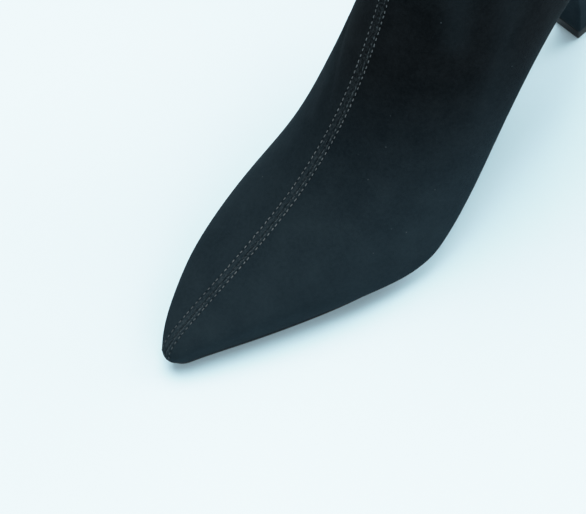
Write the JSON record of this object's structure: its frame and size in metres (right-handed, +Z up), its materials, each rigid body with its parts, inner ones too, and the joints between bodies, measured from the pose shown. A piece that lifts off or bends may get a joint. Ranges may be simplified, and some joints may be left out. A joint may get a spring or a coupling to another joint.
{
  "type": "ankle boot",
  "caption": "Left high-heeled ankle boot in dark suede, with a pointed toe, a slim heel and a seam along the top of the foot.",
  "frame": {"origin": "middle of the boot's bounding box on the floor it stands on", "axes": "+Z up, the toe towards -Y, the heel towards +Y, the outer side of the left foot towards +X"},
  "size_m": [0.0786, 0.2402, 0.2239],
  "materials": {
    "suede": "near-black suede, matte nap",
    "lining": "smooth matte lining",
    "sole_leather": "smooth, dark grey edge",
    "heel_suede": "suede cover over a hard core",
    "heel_rubber": "matte"
  },
  "bodies": {
    "root": {"upper": "suede", "insole": "lining", "outsole": "sole_leather", "heel": "heel_suede", "top_piece": "heel_rubber"}
  },
  "joints": []
}
